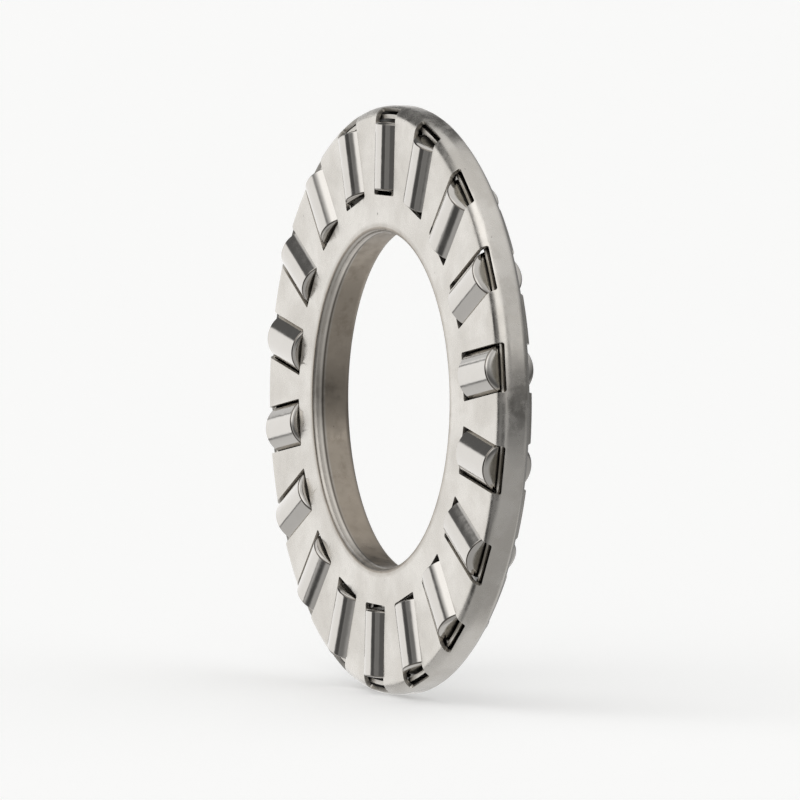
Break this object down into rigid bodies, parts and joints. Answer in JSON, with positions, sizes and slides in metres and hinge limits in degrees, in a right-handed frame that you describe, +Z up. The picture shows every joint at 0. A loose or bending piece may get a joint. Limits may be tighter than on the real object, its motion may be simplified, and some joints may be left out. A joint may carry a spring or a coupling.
{
  "type": "thrust roller bearing",
  "caption": "Thrust roller and cage assembly: short cylindrical rollers set like spokes in a flat ring cage folded from nested sheet-steel shells, to carry axial load between turning faces.",
  "frame": {"origin": "centre of the ring, on the bearing axis, in the plane that holds every roller's own axis", "axes": "+Y along the bearing axis towards the rear face, -Y out of the front face with the deep rounded rim, +Z up through roller_01, +X to the right seen from the front"},
  "size_m": [0.056, 0.005, 0.056],
  "materials": {
    "cage_steel": "satin, tumbled after pressing",
    "roller_steel": "ground and polished bearing steel"
  },
  "bodies": {
    "cage": {"cage_front_shell": "cage_steel", "cage_rear_shell": "cage_steel"},
    "roller_01": {"roller_01": "roller_steel"},
    "roller_02": {"roller_02": "roller_steel"},
    "roller_03": {"roller_03": "roller_steel"},
    "roller_04": {"roller_04": "roller_steel"},
    "roller_05": {"roller_05": "roller_steel"},
    "roller_06": {"roller_06": "roller_steel"},
    "roller_07": {"roller_07": "roller_steel"},
    "roller_08": {"roller_08": "roller_steel"},
    "roller_09": {"roller_09": "roller_steel"},
    "roller_10": {"roller_10": "roller_steel"},
    "roller_11": {"roller_11": "roller_steel"},
    "roller_12": {"roller_12": "roller_steel"},
    "roller_13": {"roller_13": "roller_steel"},
    "roller_14": {"roller_14": "roller_steel"},
    "roller_15": {"roller_15": "roller_steel"},
    "roller_16": {"roller_16": "roller_steel"},
    "roller_17": {"roller_17": "roller_steel"},
    "roller_18": {"roller_18": "roller_steel"}
  },
  "joints": [
    {"name": "roller_01_spin", "type": "hinge", "parent": "cage", "child": "roller_01", "pos_m": [0, 0, 0.02315], "axis": [0, 0, 1], "continuous": true},
    {"name": "roller_02_spin", "type": "hinge", "parent": "cage", "child": "roller_02", "pos_m": [0.00792, 0, 0.02175], "axis": [0.342, 0, 0.9397], "continuous": true},
    {"name": "roller_03_spin", "type": "hinge", "parent": "cage", "child": "roller_03", "pos_m": [0.01488, 0, 0.01773], "axis": [0.6428, 0, 0.766], "continuous": true},
    {"name": "roller_04_spin", "type": "hinge", "parent": "cage", "child": "roller_04", "pos_m": [0.02005, 0, 0.01158], "axis": [0.866, 0, 0.5], "continuous": true},
    {"name": "roller_05_spin", "type": "hinge", "parent": "cage", "child": "roller_05", "pos_m": [0.0228, 0, 0.00402], "axis": [0.9848, 0, 0.1736], "continuous": true},
    {"name": "roller_06_spin", "type": "hinge", "parent": "cage", "child": "roller_06", "pos_m": [0.0228, 0, -0.00402], "axis": [0.9848, 0, -0.1736], "continuous": true},
    {"name": "roller_07_spin", "type": "hinge", "parent": "cage", "child": "roller_07", "pos_m": [0.02005, 0, -0.01158], "axis": [0.866, 0, -0.5], "continuous": true},
    {"name": "roller_08_spin", "type": "hinge", "parent": "cage", "child": "roller_08", "pos_m": [0.01488, 0, -0.01773], "axis": [0.6428, 0, -0.766], "continuous": true},
    {"name": "roller_09_spin", "type": "hinge", "parent": "cage", "child": "roller_09", "pos_m": [0.00792, 0, -0.02175], "axis": [0.342, 0, -0.9397], "continuous": true},
    {"name": "roller_10_spin", "type": "hinge", "parent": "cage", "child": "roller_10", "pos_m": [0, 0, -0.02315], "axis": [0, 0, -1], "continuous": true},
    {"name": "roller_11_spin", "type": "hinge", "parent": "cage", "child": "roller_11", "pos_m": [-0.00792, 0, -0.02175], "axis": [-0.342, 0, -0.9397], "continuous": true},
    {"name": "roller_12_spin", "type": "hinge", "parent": "cage", "child": "roller_12", "pos_m": [-0.01488, 0, -0.01773], "axis": [-0.6428, 0, -0.766], "continuous": true},
    {"name": "roller_13_spin", "type": "hinge", "parent": "cage", "child": "roller_13", "pos_m": [-0.02005, 0, -0.01158], "axis": [-0.866, 0, -0.5], "continuous": true},
    {"name": "roller_14_spin", "type": "hinge", "parent": "cage", "child": "roller_14", "pos_m": [-0.0228, 0, -0.00402], "axis": [-0.9848, 0, -0.1736], "continuous": true},
    {"name": "roller_15_spin", "type": "hinge", "parent": "cage", "child": "roller_15", "pos_m": [-0.0228, 0, 0.00402], "axis": [-0.9848, 0, 0.1736], "continuous": true},
    {"name": "roller_16_spin", "type": "hinge", "parent": "cage", "child": "roller_16", "pos_m": [-0.02005, 0, 0.01158], "axis": [-0.866, 0, 0.5], "continuous": true},
    {"name": "roller_17_spin", "type": "hinge", "parent": "cage", "child": "roller_17", "pos_m": [-0.01488, 0, 0.01773], "axis": [-0.6428, 0, 0.766], "continuous": true},
    {"name": "roller_18_spin", "type": "hinge", "parent": "cage", "child": "roller_18", "pos_m": [-0.00792, 0, 0.02175], "axis": [-0.342, 0, 0.9397], "continuous": true}
  ]
}
